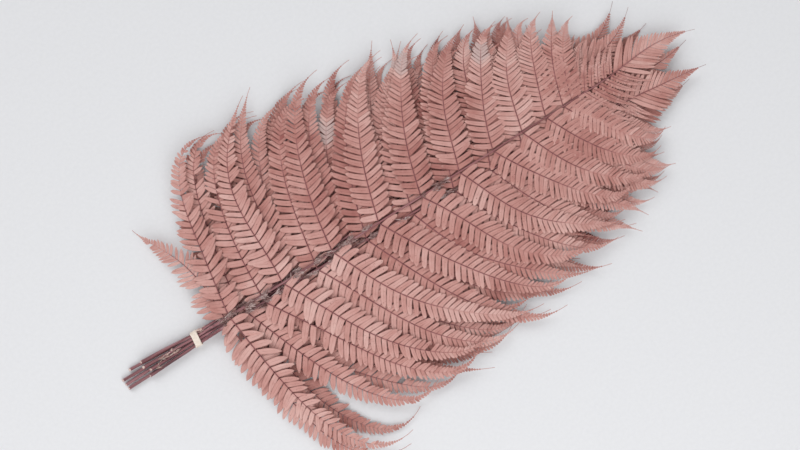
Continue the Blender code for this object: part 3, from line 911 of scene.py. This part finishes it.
def scale_material():
    """Grey-brown papery scales, each with its own shade."""
    shades = Shades("papery_scale")
    tone = shades.tint()[0]
    colour = shades.ramp(tone, [
        (0.0, srgb(94, 62, 60)), (0.30, srgb(142, 108, 104)), (0.62, srgb(178, 148, 144)),
        (1.0, srgb(216, 194, 190))])
    grain = shades.noise(1400.0, 3.0)
    dark = shades.between(grain, 0.35, 0.65, 0.5, 0.0)
    colour = shades.blend("MULTIPLY", dark, colour, srgb(120, 88, 84))
    shades.bump(grain, 0.4, 0.0003)
    return shades.finish(colour, shades.between(grain, 0.3, 0.7, 0.7, 0.9), 0.2)


def chaff_material():
    """Pale pinkish peeled strips of stipe skin."""
    shades = Shades("pale_chaff")
    tone = shades.tint()[0]
    grain = shades.noise(1000.0, 3.0, 0.5, (0.2, 1.0, 1.0))
    colour = shades.ramp(tone, [
        (0.0, srgb(150, 118, 112)), (0.5, srgb(208, 180, 170)), (1.0, srgb(234, 216, 206))])
    dark = shades.between(grain, 0.35, 0.65, 0.4, 0.0)
    colour = shades.blend("MULTIPLY", dark, colour, srgb(170, 120, 112))
    shades.bump(grain, 0.4, 0.0003)
    return shades.finish(colour, shades.between(grain, 0.3, 0.7, 0.65, 0.85), 0.25)


def band_material():
    """Cream elastic with fine lengthwise ribs, painted shade in the troughs between them, and a little
    dust.
    """
    shades = Shades("cream_elastic")
    along = shades.tint()[1]
    ribs = shades.math("SINE", shades.math("MULTIPLY", along, 62.0))
    dust = shades.noise(260.0, 4.0)
    colour = shades.ramp(dust, [(0.30, srgb(224, 208, 194)), (0.60, srgb(240, 229, 217))])
    # Painted shade: the troughs between the fine ribs are darkened
    groove = shades.between(ribs, -1.0, -0.2, 0.30, 0.0)
    colour = shades.blend("MULTIPLY", groove, colour, srgb(196, 170, 152))
    height = shades.math("ADD", shades.math("MULTIPLY", ribs, 0.5), dust)
    shades.bump(height, 0.2, 0.0002)
    return shades.finish(colour, shades.between(dust, 0.3, 0.7, 0.5, 0.7), 0.35)


def floor_material():
    """Pale matt paper with a barely visible grain."""
    shades = Shades("pale_floor")
    grain = shades.noise(300.0, 2.0)
    colour = shades.ramp(grain, [(0.3, srgb(222, 222, 224)), (0.7, srgb(225, 225, 227))])
    return shades.finish(colour, shades.between(grain, 0.3, 0.7, 0.88, 0.94), 0.2)


def stage_and_light():
    """A pale floor, soft studio light and the camera looking straight down."""
    floor_mesh = bpy.data.meshes.new("floor")
    corners = [(x * FLOOR_HALF, y * FLOOR_HALF, 0) for x, y in ((-1, -1), (1, -1), (1, 1), (-1, 1))]
    floor_mesh.from_pydata(corners, [], [(0, 1, 2, 3)])
    floor = bpy.data.objects.new("floor", floor_mesh)
    floor.location = FLOOR_PLACE
    bpy.context.scene.collection.objects.link(floor)
    floor_mesh.materials.append(floor_material())

    world = bpy.data.worlds.new("studio")
    world.use_nodes = True
    background = world.node_tree.nodes["Background"]
    background.inputs["Color"].default_value = SKY_COLOUR
    background.inputs["Strength"].default_value = SKY_STRENGTH
    bpy.context.scene.world = world
    for name, place, size, energy in LAMPS:
        light = bpy.data.lights.new(name, "AREA")
        light.shape = "DISK"
        light.size = size
        light.energy = energy
        lamp = bpy.data.objects.new(name, light)
        lamp.location = place
        aim = Vector(LIGHT_TARGET) - Vector(place)
        lamp.rotation_euler = aim.to_track_quat("-Z", "Y").to_euler()
        bpy.context.scene.collection.objects.link(lamp)

    bpy.context.scene.view_settings.view_transform = "Standard"
    data = bpy.data.cameras.new("camera")
    data.sensor_width = SENSOR_WIDTH
    data.lens = CAMERA_LENS
    camera = bpy.data.objects.new("camera", data)
    camera.location = CAMERA_PLACE
    camera.rotation_euler = (0.0, 0.0, math.radians(CAMERA_TURN))
    bpy.context.scene.collection.objects.link(camera)
    bpy.context.scene.camera = camera


def main():
    """Everything in the scene."""
    stage_and_light()
    materials = {"leaf": leaf_material(), "rib": rib_material(), "stem": stem_material()}
    for frond, plan in enumerate(FRONDS, start=1):
        build_frond(frond, plan, materials)
    build_band(band_material())
    for piece in (build_scales(scale_material()), build_chaff(chaff_material())):
        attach(piece, "root")


main()
